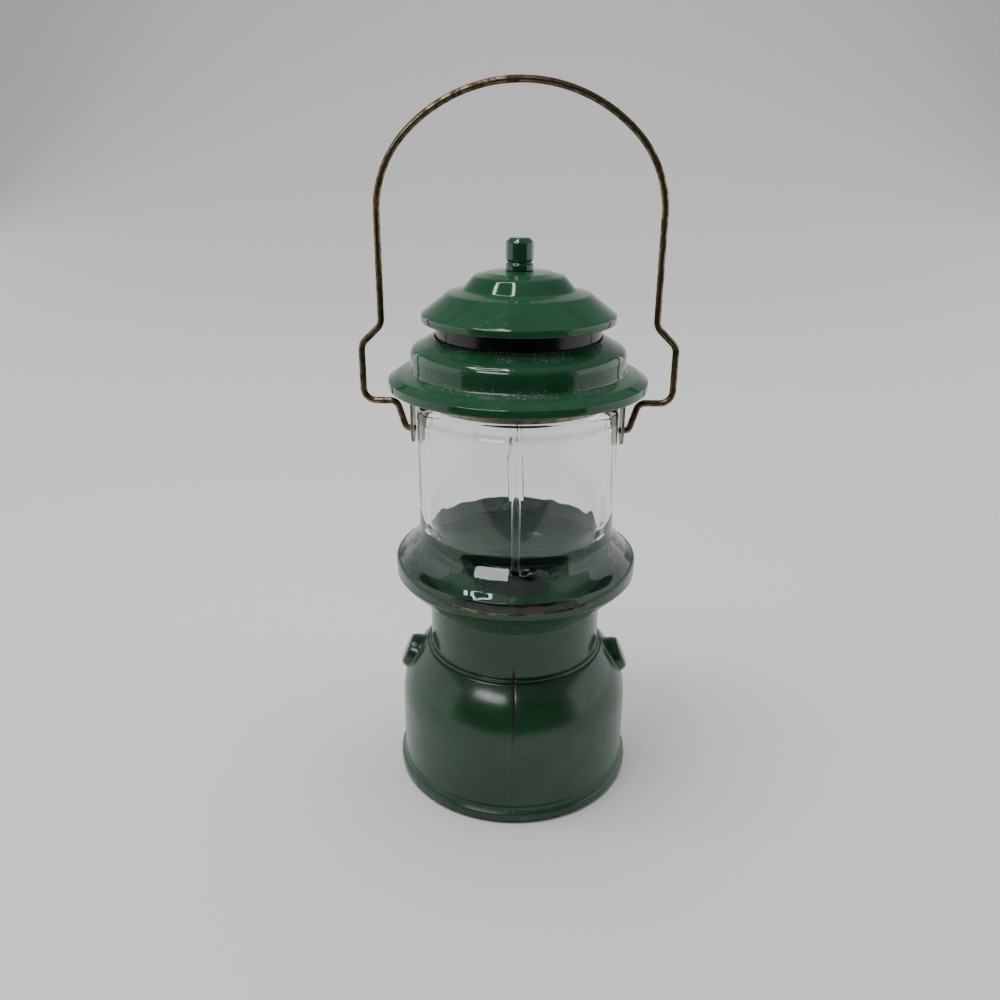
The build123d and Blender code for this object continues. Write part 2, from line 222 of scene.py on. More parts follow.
def tube_into(bm, path, radius, sides=20):
    """Adds a round wire along a path of points in the plane y = 0, in mm, with domed ends."""
    rings = []
    count = len(path)
    for k, p in enumerate(path):
        along = (path[min(k + 1, count - 1)] - path[max(k - 1, 0)]).normalized()
        side = Vector((-along.z, 0, along.x))
        end = min(k, count - 1 - k)
        size = radius * (0.55, 0.86, 1.0)[min(end, 2)]
        ring = []
        for i in range(sides):
            a = 2 * pi * i / sides
            ring.append(bm.verts.new((p + side * (size * cos(a)) + Vector((0, size * sin(a), 0))) * MM))
        rings.append(ring)
    for a, b in zip(rings, rings[1:]):
        for i in range(sides):
            j = (i + 1) % sides
            bm.faces.new((a[i], a[j], b[j], b[i]))
    bm.faces.new(rings[0])
    bm.faces.new(reversed(rings[-1]))


# ---- the mould's marks ----------------------------------------------------------------------
def from_seam(angle, r):
    """Signed distance in mm along the surface to the nearest mould seam."""
    return min((((angle - seam + pi) % (2 * pi) - pi) * r for seam in SEAM_ANGLES), key=abs)


def rib(z, s):
    """Height of the guard-wire rib on the globe."""
    if abs(s) > RIB_HALF * 1.5 or z < RIB_LOW or z > RIB_HIGH:
        return 0.0
    ends = min(1.0, (z - RIB_LOW) / 1.2, (RIB_HIGH - z) / 1.2)
    t = min(1.0, abs(s) / (RIB_HALF * 1.1))
    return RIB_PROUD * sqrt(max(0.0, 1 - t * t)) * sqrt(max(0.0, ends))


def seam_line(s, z):
    """The line where the two mould halves met: a groove, with the surface beside it pulled in a little.

    It is strongest on the shoulder and faint elsewhere.
    """
    strong = SEAM_FAINT + (1 - SEAM_FAINT) * max(0.0, 1 - abs(z - SEAM_MIDDLE) / SEAM_SPAN) ** 0.5
    pull = 0.20 * exp(-s / 1.6) if s > 0 else 0.03 * exp(s / 0.6)
    return -strong * (SEAM_DEEP * exp(-(s / SEAM_HALF) ** 2) + pull)


def turned_rings(z):
    """Fine rings under the flange."""
    if not TURNED_LOW < z < TURNED_HIGH:
        return 0.0
    return TURNED_DEPTH * sin(2 * pi * (z - TURNED_LOW) / TURNED_PITCH)


def outside_push(r, z, angle):
    """Rib, seam and a soft unevenness of the outside."""
    s = from_seam(angle, r)
    low = 0.8 < z < RIM_LOW
    soft = 0.05 * noise.noise(Vector((cos(angle) * 1.6, sin(angle) * 1.6, z * 0.05))) - 0.03
    return rib(z, s) + (seam_line(s, z) if low else 0.0) + (soft if z < NECK_LOW - 3 else 0.0)


def inside_push(r, z, angle):
    """The blown inside of the glass is wavy, in long upright swells."""
    if z > NECK_LOW - 4 or r < 6:
        return 0.0
    lean = angle + z * 0.004
    swell = noise.noise(Vector((cos(lean) * 1.8, sin(lean) * 1.8, z * 0.018)))
    streak = noise.noise(Vector((cos(lean) * 7.5 + 9, sin(lean) * 7.5, z * 0.035)))
    calm = min(1.0, max(0.0, (z - 68) / 10))
    return (0.16 + 0.10 * calm) * swell + 0.12 * streak * calm


# ---- bottle ---------------------------------------------------------------------------------
def build_glass():
    outside = underside_profile() + lower_profile(0) + upper_profile()
    inside = inner_profile()
    split = len(outside)

    def push(r, z, angle, index):
        if index >= split:
            return inside_push(r, z, angle)
        if z < 0.85 or z > NECK_LOW - 3:
            return 0.0
        return outside_push(r, z, angle)

    bm = bmesh.new()
    lathe_into(bm, outside + inside, angles_round(216), push)
    thread_into(bm, NECK_R, THREAD_DEPTH, THREAD_START)
    return mesh_object("glass_body", bm, "bottle", ("glass_bottle", "neck_thread"), 40)


def thread_into(bm, root_r, depth, start_z, steps=90):
    """Adds one screw ridge, sunk a little into the wall it stands on and running out at both ends."""
    sink = -THREAD_SINK if depth > 0 else THREAD_SINK
    rings = []
    for i in range(steps + 1):
        a = 2 * pi * THREAD_TURNS * i / steps
        z = start_z + THREAD_PITCH * THREAD_TURNS * i / steps
        grow = min(1.0, i / THREAD_RUN_OUT, (steps - i) / THREAD_RUN_OUT)
        section = ((sink, THREAD_ROOT_HALF), (depth * grow, THREAD_CREST_HALF),
                   (depth * grow, -THREAD_CREST_HALF), (sink, -THREAD_ROOT_HALF))
        rings.append([bm.verts.new(((root_r + d) * cos(a) * MM, (root_r + d) * sin(a) * MM, (z + h) * MM))
                      for d, h in section])
    for a, b in zip(rings, rings[1:]):
        for i in range(4):
            j = (i + 1) % 4
            bm.faces.new((a[i], a[j], b[j], b[i]))
    bm.faces.new(rings[0])
    bm.faces.new(reversed(rings[-1]))


def boss_into(bm, side):
    """Adds one moulded boss: a flat-faced button whose back follows the fount's shoulder."""
    tilt = radians(BOSS_TILT)
    out = Vector((side * cos(tilt), 0, sin(tilt)))
    across = Vector((0, 1, 0))
    upward = Vector((-side * sin(tilt), 0, cos(tilt)))
    face = Vector((side * BOSS_FACE[0], 0, BOSS_FACE[1])) + out * ENAMEL

    def depth(u, v):
        """How far below the face's plane the enamel's outside lies, at u across and v up."""
        down = 0.0
        for _ in range(25):
            p = face - out * down + across * u + upward * v
            flat = Vector((p.x, p.y)).length
            gap = Vector((flat - (DRUM_R - SHOULDER_R), p.z - DRUM_TOP)).length - SHOULDER_R - ENAMEL
            down += gap
        return down

    sides = 72
    edge = 0.6                            # radius of the face's rounded edge
    crown = 0.3                           # how far the face falls from its middle to its edge
    buried = 0.22                         # how far the closing back lies inside the enamel
    spread = tan(radians(BOSS_DRAFT))
    turns = [2 * pi * i / sides for i in range(sides)]
    heights = [depth(BOSS_R * cos(a), BOSS_R * sin(a)) for a in turns]

    def point(a, r, down):
        return bm.verts.new((face - out * down + across * (r * cos(a)) + upward * (r * sin(a))) * MM)

    def sunk_point(a, r, sunk):
        """A point that lies sunk below the enamel's outside."""
        return point(a, r, depth(r * cos(a), r * sin(a)) + sunk)

    rings = [[point(0, 0, 0)]]
    rows = [(BOSS_R * t, crown * t * t) for t in (0.2, 0.4, 0.6, 0.75, 0.86)]
    rows += [(BOSS_R - edge + edge * sin(t), crown + edge - edge * cos(t)) for t in (0.25, 0.5, 0.8, 1.1)]
    for radius, down in rows:
        rings.append([point(a, radius, down) for a in turns])
    for t in (0.35, 0.7, 0.86):
        downs = [edge + crown + (height - edge - crown) * t for height in heights]
        rings.append([point(a, BOSS_R + down * spread, down) for a, down in zip(turns, downs)])
    for wider, sunk in ((0.25, -0.09), (0.7, 0.0), (1.1, 0.06), (1.1, buried)):
        radii = [BOSS_R + height * spread + wider for height in heights]
        rings.append([sunk_point(a, r, sunk) for a, r in zip(turns, radii)])
    rings.append([sunk_point(a, BOSS_R * 0.5, buried) for a in turns])
    rings.append([sunk_point(0, 0, buried)])
    for low, high in zip(rings, rings[1:]):
        for i in range(sides):
            j = (i + 1) % sides
            quad = (low[i % len(low)], low[j % len(low)], high[j % len(high)], high[i % len(high)])
            bm.faces.new(list(dict.fromkeys(quad)))


def wall_radius(z):
    """Outside radius of the bare glass at height z, on the rim and the flange's top."""
    track = lower_profile(0)[-4:] + upper_profile()
    for (r0, z0), (r1, z1) in zip(track, track[1:]):
        if z0 <= z <= z1:
            return r0 + (r1 - r0) * (z - z0) / (z1 - z0)
    return RIM_R


def paint_edge(angle):
    """Height of the enamel's upper edge: low in the middle of the front, over the rim elsewhere."""
    away = abs((angle + pi / 2 + pi) % (2 * pi) - pi)
    t = min(1.0, max(0.0, (away - radians(12)) / radians(68)))
    wobble = 0.12 * noise.noise(Vector((cos(angle) * 5, sin(angle) * 5, 0)))
    return PAINT_LINE + PAINT_RISE * t * t * (3 - 2 * t) + wobble


def build_enamel():
    outside = lower_profile(ENAMEL)
    inside = list(reversed(lower_profile(-ENAMEL_BITE)))
    outside[-1] = (outside[-1][0], PAINT_LINE - 0.12)
    outside.append((RIM_R + 0.15, PAINT_LINE))

    def push(r, z, angle, index):
        return outside_push(r, z, angle) + (turned_rings(z) if index < len(outside) else 0.0)

    bm = bmesh.new()
    lathe_into(bm, outside + inside, angles_round(216), push, len(outside))
    for v in bm.verts:
        z = v.co.z / MM
        if z > RIM_LOW + 0.05:
            angle = atan2(v.co.y, v.co.x)
            lifted = RIM_LOW + (z - RIM_LOW) * (paint_edge(angle) - RIM_LOW) / (PAINT_LINE - RIM_LOW)
            r = Vector((v.co.x, v.co.y)).length / MM + wall_radius(lifted) - wall_radius(z)
            v.co = Vector((r * cos(angle), r * sin(angle), lifted)) * MM
    for side in (-1, 1):
        boss_into(bm, side)
    return mesh_object("enamel_skin", bm, "bottle", ("green_enamel",), 60)


# ---- bail ring ------------------------------------------------------------------------------
RING_IN, RING_WALL, RING_LOW, RING_H = 21.7, 0.6, 102.7, 2.0
EAR_X, EAR_HALF = 25.3, 3.5
EAR_HOLE = 0.88


def ear_into(bm, side):
    """Adds one ear: a strip that leaves the ring flat, bends down and ends round, with the pivot hole."""
    half = RING_WALL / 2
    level = RING_LOW + RING_H - half
    bend = 1.0
    drop_x = EAR_X + half
    start_x = RING_IN + 0.15
    flat = drop_x - bend - start_x
    quarter = bend * pi / 2

    def place(y, s, t):
        """Point at distance s along the strip, y across it and t out of its middle surface."""
        if s < flat:
            x, z = start_x + s, level + t
        elif s < flat + quarter:
            a = (s - flat) / bend
            x, z = drop_x - bend + (bend + t) * sin(a), level - bend + (bend + t) * cos(a)
        else:
            x, z = drop_x + t, level - bend - (s - flat - quarter)
        return Vector((side * x, y, z)) * MM

    hole_s = flat + quarter + (level - bend - PIVOT_Z)
    top_s = hole_s - EAR_HALF
    rows = [top_s * i / 26 for i in range(27)]
    across = [EAR_HALF * (i / 8 - 1) for i in range(17)]
    points, faces = [], []

    def add(y, s):
        points.append((y, s))
        return len(points) - 1

    grid = [[add(y, s) for y in across] for s in rows]
    for a, b in zip(grid, grid[1:]):
        faces += [(a[i], a[i + 1], b[i + 1], b[i]) for i in range(16)]
    outer = list(grid[-1])
    outer += [add(EAR_HALF, hole_s - EAR_HALF * (1 - i / 6)) for i in range(1, 7)]
    outer += [add(EAR_HALF * cos(pi * i / 24), hole_s + EAR_HALF * sin(pi * i / 24)) for i in range(1, 24)]
    outer += [add(-EAR_HALF, hole_s - EAR_HALF * i / 6) for i in range(0, 6)]
    hole, middle = [], []
    for k in outer:
        y, s = points[k]
        direction = Vector((y, s - hole_s)).normalized()
        hole.append(add(direction.x * EAR_HOLE, hole_s + direction.y * EAR_HOLE))
        middle.append(add(direction.x * 1.6, hole_s + direction.y * 1.6))
    n = len(outer)
    for i in range(n):
        j = (i + 1) % n
        faces += [(outer[i], outer[j], middle[j], middle[i]), (middle[i], middle[j], hole[j], hole[i])]
    front = [bm.verts.new(place(y, s, half)) for y, s in points]
    back = [bm.verts.new(place(y, s, -half)) for y, s in points]
    edges = {}
    for face in faces:
        bm.faces.new([front[k] for k in face])
        bm.faces.new([back[k] for k in reversed(face)])
        for a, b in zip(face, face[1:] + face[:1]):
            edges[(a, b)] = edges.get((a, b), 0) + 1
    for a, b in edges:
        if (b, a) not in edges:
            bm.faces.new((front[b], front[a], back[a], back[b]))


def build_ring():
    bm = bmesh.new()
    low, high = RING_LOW, RING_LOW + RING_H
    out = RING_IN + RING_WALL
    outline = rounded([(RING_IN, low, 0), (out, low, 0.15), (out, high, 0.28), (RING_IN, high, 0.15),
                       (RING_IN, low + 0.01, 0)], 0.7, 4)
    lathe_into(bm, outline[:-1], angles_round(192, False))
    for side in (-1, 1):
        ear_into(bm, side)
    ring = mesh_object("bail_band", bm, "bottle", ("bail_ring",), 40)
    bevel = ring.modifiers.new("edge", "BEVEL")
    bevel.width = 0.09 * MM
    bevel.segments = 2
    bevel.limit_method = "ANGLE"
    bevel.angle_limit = radians(50)
    return ring


# ---- bail wire ------------------------------------------------------------------------------
END_X, HOOK_X, SHELF_X, SHELF_Z = 24.85, 27.3, 29.4, 101.9
BOW_X, BOW_TOP, LEG_X, LEG_LOW, LEG_TOP = 37.4, 115.6, 32.5, 120.3, 145.2
SIDE_ARC_R, TOP_ARC_R = 24.0, 36.0


def build_wire():
    foot = rounded([(END_X, PIVOT_Z, 0), (HOOK_X, PIVOT_Z, 1.2), (SHELF_X, SHELF_Z, 2.2),
                    (BOW_X, SHELF_Z, 3.0), (BOW_X, BOW_TOP, 3.2), (LEG_X, LEG_LOW, 3.6),
                    (LEG_X, LEG_TOP, 0)], 1.0, 9)
    arc_x = LEG_X - SIDE_ARC_R
    top_z = LEG_TOP - sqrt((TOP_ARC_R - SIDE_ARC_R) ** 2 - arc_x ** 2)
    turn = 90 - asin(arc_x / (TOP_ARC_R - SIDE_ARC_R)) * 180 / pi
    side = arc_points(arc_x, LEG_TOP, SIDE_ARC_R, 0, turn, 18)[1:]
    top = arc_points(0, top_z, TOP_ARC_R, turn, 90, 22)[1:]
    half = foot + side + top
    half = [(END_X, PIVOT_Z), (END_X + 0.12, PIVOT_Z), (END_X + 0.4, PIVOT_Z)] + half[1:]
    path = [Vector((x, 0, z)) for x, z in half] + [Vector((-x, 0, z)) for x, z in reversed(half[:-1])]
    bm = bmesh.new()
    tube_into(bm, path, WIRE_R, 24)
    return mesh_object("bail_handle", bm, "bail", ("bail_wire",), 60)


# ---- cap ------------------------------------------------------------------------------------
def drum_ceiling(r):
    rise = (VENT_TOP - VENT_SHOULDER - WALL + 0.9) / (VENT_R - WALL - VENT_HOLE_R)
    return VENT_SHOULDER - 0.9 + rise * (VENT_R - WALL - r)


def build_drum():
    bm = bmesh.new()
    outline = rounded([(BRIM_R - WALL, BRIM_LOW, 0), (BRIM_R, BRIM_LOW, 0.35), (BRIM_R, BRIM_EDGE, 0.3),
                       (28.9, 109.5, 2.0), (VENT_R, VENT_LOW, 0.5), (VENT_R, VENT_SHOULDER, 2.2),
                       (VENT_HOLE_R, VENT_TOP, 0.3), (VENT_HOLE_R, VENT_TOP - WALL, 0),
                       (VENT_R - WALL, VENT_SHOULDER - 0.9, 0.8), (VENT_R - WALL, VENT_LOW - WALL, 0.5),
                       (28.2, 108.0, 0.8), (BRIM_R - WALL, BRIM_LOW + 0.7, 0.3),
                       (BRIM_R - WALL, BRIM_LOW + 0.05, 0)], 0.8, 7)
    lathe_into(bm, outline, angles_round(256, False))
    return mesh_object("vent_drum", bm, "cap", ("cap_drum",), 60)


def build_hood():
    bm = bmesh.new()
    outline = rounded([(HOOD_R - WALL, HOOD_LOW, 0), (HOOD_R, HOOD_LOW, 0.3), (HOOD_R, HOOD_EDGE, 0.5),
                       (16.7, 128.1, 1.3), (13.2, 128.9, 1.3), (10.6, 131.9, 1.7), (7.6, 132.7, 2.0),
                       (3.4, HOOD_TOP, 0.2),
                       (STUD_R + 0.1, HOOD_TOP, 0), (STUD_R + 0.1, HOOD_TOP - WALL, 0), (9.5, 130.0, 0.5),
                       (12.5, 127.2, 0.5), (15.9, 125.9, 0.5), (HOOD_R - WALL, HOOD_EDGE - 0.6, 0.4),
                       (HOOD_R - WALL, HOOD_LOW + 0.05, 0)], 0.8, 7)
    lathe_into(bm, outline, angles_round(256, False))
    return mesh_object("vent_hood", bm, "cap", ("cap_hood",), 60)


def build_core():
    bm = bmesh.new()
    boss_top = HOOD_TOP - WALL - 0.55
    stud_hole = STUD_R + 0.05
    outline = rounded([(0, CEILING_Z, 0), (SKIRT_BORE_R, CEILING_Z, 0.4), (SKIRT_BORE_R, CORE_LOW, 0.2),
                       (CORE_SKIRT_R, CORE_LOW, 0.2), (CORE_SKIRT_R, CORE_FLANGE_Z, 0.3),
                       (CORE_FLANGE_R, CORE_FLANGE_Z, 0.2),
                       (CORE_FLANGE_R, drum_ceiling(CORE_FLANGE_R) - 0.05, 0.2),
                       (CORE_R, drum_ceiling(CORE_R) - 0.05, 0), (CORE_R, CORE_TOP, 0.2),
                       (CORE_R - WALL, CORE_TOP, 0.2), (CORE_R - WALL, CORE_FLANGE_Z + WALL, 0.3),
                       (CORE_SKIRT_R, CORE_FLANGE_Z + WALL, 0.3), (CORE_SKIRT_R, CEILING_Z + 1.8, 0.3),
                       (STUD_R + 2.4, CEILING_Z + 1.8, 0.3), (STUD_R + 2.4, boss_top, 0.2),
                       (stud_hole, boss_top, 0), (stud_hole, CEILING_Z + 2.6, 0),
                       (0, CEILING_Z + 2.6, 0)], 1.5, 4)
    lathe_into(bm, outline, angles_round(192, False))
    thread_into(bm, SKIRT_BORE_R, -THREAD_DEPTH, THREAD_START - THREAD_OFFSET)
    return mesh_object("closure_core", bm, "cap", ("cap_core", "cap_thread"), 40)


def build_knob():
    bm = bmesh.new()
    foot = HOOD_TOP + 0.05
    outline = rounded([(0, CEILING_Z + 2.8, 0), (STUD_R, CEILING_Z + 2.8, 0.3), (STUD_R, foot, 0),
                       (KNOB_COLLAR_R, foot, 0.2), (KNOB_COLLAR_R - 0.1, foot + 1.35, 0.5),
                       (KNOB_R - 0.45, foot + 1.85, 0.25), (KNOB_R, foot + 2.45, 0.4),
                       (KNOB_R, KNOB_TOP - 1.0, 0.5), (KNOB_R - 1.0, KNOB_TOP, 0.6), (0, KNOB_TOP, 0)], 0.6, 5)
    lathe_into(bm, outline, angles_round(96, False))
    return mesh_object("hood_knob", bm, "cap", ("cap_knob",), 60)


def build_liner():
    bm = bmesh.new()
    outline = rounded([(0, NECK_TOP + 0.05, 0), (NECK_R + 1.15, NECK_TOP + 0.05, 0.2),
                       (NECK_R + 1.15, NECK_TOP + 1.15, 0.2), (0, NECK_TOP + 1.15, 0)], 1.5, 4)
    lathe_into(bm, outline, angles_round(96, False))
    return mesh_object("seal_disc", bm, "liner", ("cap_liner",), 60)


# ---- materials ------------------------------------------------------------------------------
class Nodes:
    """A material's node tree, with short ways to add and link nodes."""

    def __init__(self, name):
        self.material = bpy.data.materials.new(name)
        self.material.use_nodes = True
        self.tree = self.material.node_tree
        self.shader = self.tree.nodes["Principled BSDF"]
        self.place = self.add("ShaderNodeTexCoord").outputs["Object"]

    def add(self, kind, **settings):
        node = self.tree.nodes.new(kind)
        for key, value in settings.items():
            if key in node.inputs:
                node.inputs[key].default_value = value
            else:
                setattr(node, key, value)
        return node

    def link(self, a, b):
        self.tree.links.new(a, b)

    def set(self, **values):
        for key, value in values.items():
            self.shader.inputs[key.replace("_", " ")].default_value = value

    def stretched(self, scale):
        mapping = self.add("ShaderNodeMapping")
        mapping.inputs["Scale"].default_value = scale
        self.link(self.place, mapping.inputs["Vector"])
        return mapping.outputs["Vector"]

    def noise(self, scale, detail=3.0, rough=0.5, vector=None):
        node = self.add("ShaderNodeTexNoise", Scale=scale, Detail=detail, Roughness=rough)
        self.link(vector or self.place, node.inputs["Vector"])
        return node.outputs["Fac"]

    def ramp(self, value, low, high, low_out=0.0, high_out=1.0):
        node = self.add("ShaderNodeMapRange", clamp=True)
        node.interpolation_type = "SMOOTHSTEP"
        node.inputs["From Min"].default_value = low
        node.inputs["From Max"].default_value = high
        node.inputs["To Min"].default_value = low_out
        node.inputs["To Max"].default_value = high_out
        self.link(value, node.inputs["Value"])
        return node.outputs["Result"]

    def math(self, operation, a, b=None):
        node = self.add("ShaderNodeMath", operation=operation)
        for k, value in enumerate((a, b)):
            if value is None:
                continue
            if isinstance(value, (int, float)):
                node.inputs[k].default_value = value
            else:
                self.link(value, node.inputs[k])
        return node.outputs[0]

    def mix(self, factor, a, b):
        node = self.add("ShaderNodeMix", data_type="RGBA")
        for key, value in (("Factor", factor), ("A", a), ("B", b)):
            socket = next(s for s in node.inputs if s.name == key and (key == "Factor" or s.type == "RGBA"))
            if isinstance(value, (int, float, tuple)):
                socket.default_value = value
            else:
                self.link(value, socket)
        return next(s for s in node.outputs if s.type == "RGBA")

    def split(self):
        node = self.add("ShaderNodeSeparateXYZ")
        self.link(self.place, node.inputs[0])
        return node.outputs["X"], node.outputs["Y"], node.outputs["Z"]

    def radius(self):
        x, y, _ = self.split()
        return self.math("SQRT", self.math("ADD", self.math("MULTIPLY", x, x), self.math("MULTIPLY", y, y)))

    def bump(self, height, strength, distance, onto=None):
        node = self.add("ShaderNodeBump", Strength=strength, Distance=distance)
        self.link(height, node.inputs["Height"])
        if onto is not None:
            self.link(onto, node.inputs["Normal"])
        return node.outputs["Normal"]


def rgb(r, g, b):
    return (r, g, b, 1.0)


# where marks begin and are full, in metres
FLANGE_FADE = (0.0720, 0.0690)
# heights and front depths of the brown band along the paint's top edge
BROWN_EDGE, BROWN_FRONT = (0.0599, 0.0604), (-0.0235, -0.0285)
FOOT_MARKS, CHIPS_BELOW = (0.0056, 0.0016), (0.036, 0.034)
# the seam's painted shade: how far either side of the seam line, and between which heights, the groove is
# painted dark
SEAM_SHADE_HALF, SEAM_SHADE_LOW, SEAM_SHADE_HIGH = (0.00042, 0.00020), (0.022, 0.029), (0.0400, 0.0385)
LEDGE_DUST_Z, LEDGE_DUST_R = (0.1122, 0.1104), (0.0290, 0.0258)
TOP_DUST_LOW, TOP_DUST_HIGH = (0.1160, 0.1172), (0.1196, 0.1190)
COLLAR_DUST_R, COLLAR_DUST_Z = (0.0060, 0.0034), (0.1345, 0.1330)


def glass_material():
    n = Nodes("clear_glass")
    n.set(Transmission_Weight=1.0, IOR=1.5)
    tint = n.mix(n.noise(35, 2.0), rgb(0.965, 0.985, 0.972), rgb(0.985, 0.995, 0.988))
    n.link(tint, n.shader.inputs["Base Color"])
    smear = n.ramp(n.noise(220, 4.0, 0.65), 0.55, 0.75, 0.0, 0.05)
    n.link(smear, n.shader.inputs["Roughness"])
    long_wave = n.noise(90, 1.5, 0.4, n.stretched((1, 1, 0.22)))
    fine = n.noise(700, 2.0, 0.5, n.stretched((1, 1, 0.5)))
    _, _, z = n.split()
    flange = n.math("MULTIPLY", n.noise(130, 2.0, 0.5), n.ramp(z, *FLANGE_FADE))
    first = n.bump(flange, 0.4, 0.0008, n.bump(long_wave, 0.35, 0.0006))
    n.link(n.bump(fine, 0.08, 0.00006, first), n.shader.inputs["Normal"])
    return n.material


def enamel_material():
    n = Nodes("green_enamel_paint")
    x, y, z = n.split()
    cloud = n.noise(60, 4.0, 0.6)
    green = n.mix(n.ramp(cloud, 0.35, 0.7), rgb(0.011, 0.050, 0.021), rgb(0.016, 0.064, 0.029))
    streaks = n.ramp(n.noise(55, 3.0, 0.6, n.stretched((1, 1, 6))), 0.45, 0.7)
    green = n.mix(n.math("MULTIPLY", streaks, 0.35), green, rgb(0.024, 0.074, 0.038))
    # a brown band along the paint's top edge, only on the front, with dark brown and light brown in patches
    edge = n.math("ADD", z, n.math("MULTIPLY", n.noise(260, 3.0), 0.0012))
    front = n.ramp(y, *BROWN_FRONT)
    front_edge_brown = n.math("MULTIPLY", n.ramp(edge, *BROWN_EDGE), front)
    brown = n.mix(n.ramp(n.noise(420, 3.0), 0.42, 0.62), rgb(0.020, 0.010, 0.004), rgb(0.17, 0.10, 0.035))
    green = n.mix(n.math("MULTIPLY", front_edge_brown, 0.9), green, brown)
    foot_mark = n.math("MULTIPLY", n.ramp(n.noise(330, 4.0, 0.7), 0.60, 0.66), n.ramp(z, *FOOT_MARKS))
    green = n.mix(n.math("MULTIPLY", foot_mark, 0.6), green, rgb(0.09, 0.13, 0.10))
    # painted shade: the mould seam's groove is painted nearly black, strongest on the shoulder, as if shade lay
    # in it; it is also made a little rougher
    seam = n.ramp(n.math("ABSOLUTE", x), *SEAM_SHADE_HALF)
    seam = n.math("MULTIPLY", seam, n.ramp(z, *SEAM_SHADE_LOW, 0.06, 1.0))
    seam = n.math("MULTIPLY", seam, n.ramp(z, *SEAM_SHADE_HIGH, 0.06, 1.0))
    green = n.mix(seam, green, rgb(0.001, 0.005, 0.003))
    chip = n.math("MULTIPLY", n.ramp(n.noise(150, 5.0, 0.7), 0.70, 0.72), n.ramp(z, *CHIPS_BELOW))
    green = n.mix(chip, green, rgb(0.003, 0.014, 0.008))
    # painted light: where the paint is seen through the glass it gets a much lighter copy of its green,
    # standing in for light that reaches it through the glass
    through_glass = n.add("ShaderNodeAttribute", attribute_name="glass_side").outputs["Fac"]
    under = n.mix(cloud, rgb(0.025, 0.150, 0.070), rgb(0.045, 0.200, 0.100))
    n.link(n.mix(through_glass, green, under), n.shader.inputs["Base Color"])
    n.set(IOR=1.5)
    haze = n.ramp(n.noise(900, 3.0, 0.6), 0.3, 0.8, 0.18, 0.27)
    n.link(n.math("ADD", haze, n.math("MULTIPLY", seam, 0.35)), n.shader.inputs["Roughness"])
    dents = n.bump(chip, 0.6, 0.0002)
    orange_peel = n.bump(n.noise(1100, 2.0, 0.5), 0.03, 0.00005, dents)
    n.link(n.bump(n.noise(120, 2.0, 0.4), 0.10, 0.0004, orange_peel), n.shader.inputs["Normal"])
    return n.material


def cap_material():
    n = Nodes("green_cap_plastic")
    _, _, z = n.split()
    r = n.radius()
    cloud = n.noise(80, 3.0, 0.5)
    green = n.mix(n.ramp(cloud, 0.3, 0.75), rgb(0.011, 0.068, 0.029), rgb(0.016, 0.086, 0.040))
    specks = n.add("ShaderNodeTexVoronoi", Scale=1500.0)
    n.link(n.place, specks.inputs["Vector"])
    spot = n.ramp(specks.outputs["Distance"], 0.26, 0.14)
    patches = n.ramp(n.noise(130, 3.0, 0.6), 0.36, 0.60)
    ledge = n.math("MULTIPLY", n.ramp(z, *LEDGE_DUST_Z), n.ramp(r, *LEDGE_DUST_R, 0.15, 1.0))
    top = n.math("MULTIPLY", n.ramp(z, *TOP_DUST_LOW), n.ramp(z, *TOP_DUST_HIGH))
    collar = n.math("MULTIPLY", n.ramp(r, *COLLAR_DUST_R), n.ramp(z, *COLLAR_DUST_Z, 0.0, 0.8))
    where = n.math("MAXIMUM", n.math("MAXIMUM", ledge, top), n.math("MAXIMUM", collar, 0.10))
    dust = n.math("MULTIPLY", n.math("MULTIPLY", spot, patches), where)
    film = n.math("MULTIPLY", n.math("MULTIPLY", patches, where), 0.10)
    amount = n.math("MINIMUM", n.math("ADD", n.math("MULTIPLY", dust, 0.9), film), 0.8)
    n.link(n.mix(amount, green, rgb(0.30, 0.36, 0.30)), n.shader.inputs["Base Color"])
    n.set(IOR=1.49, Coat_Weight=0.2, Coat_Roughness=0.03)
    smear = n.ramp(n.noise(300, 4.0, 0.6), 0.4, 0.8, 0.06, 0.15)
    n.link(n.math("ADD", smear, n.math("MULTIPLY", amount, 0.7)), n.shader.inputs["Roughness"])
    sink = n.bump(n.noise(70, 2.0, 0.4), 0.12, 0.0004)
    n.link(n.bump(dust, 0.5, 0.00008, sink), n.shader.inputs["Normal"])
    return n.material


def core_material():
    n = Nodes("black_core_plastic")
    cloud = n.noise(140, 3.0, 0.6)
    n.link(n.mix(cloud, rgb(0.004, 0.005, 0.005), rgb(0.010, 0.012, 0.011)), n.shader.inputs["Base Color"])
    n.set(IOR=1.49)
    n.link(n.ramp(n.noise(420, 4.0), 0.3, 0.8, 0.12, 0.30), n.shader.inputs["Roughness"])
    n.link(n.bump(n.noise(260, 2.0), 0.15, 0.0002), n.shader.inputs["Normal"])
    return n.material


def wire_material():
    n = Nodes("tarnished_wire")
    n.set(Metallic=1.0)
    patch = n.ramp(n.noise(420, 5.0, 0.7), 0.42, 0.62)
    rust = n.ramp(n.noise(260, 4.0, 0.65), 0.56, 0.68)
    base = n.mix(patch, rgb(0.23, 0.175, 0.11), rgb(0.060, 0.045, 0.028))
    rusty = n.mix(n.math("MULTIPLY", rust, 0.5), base, rgb(0.16, 0.065, 0.022))
    n.link(rusty, n.shader.inputs["Base Color"])
    n.link(n.ramp(n.math("ADD", patch, rust), 0.0, 1.5, 0.28, 0.62), n.shader.inputs["Roughness"])
    n.link(n.bump(n.noise(1500, 4.0, 0.6), 0.5, 0.0001), n.shader.inputs["Normal"])
    return n.material


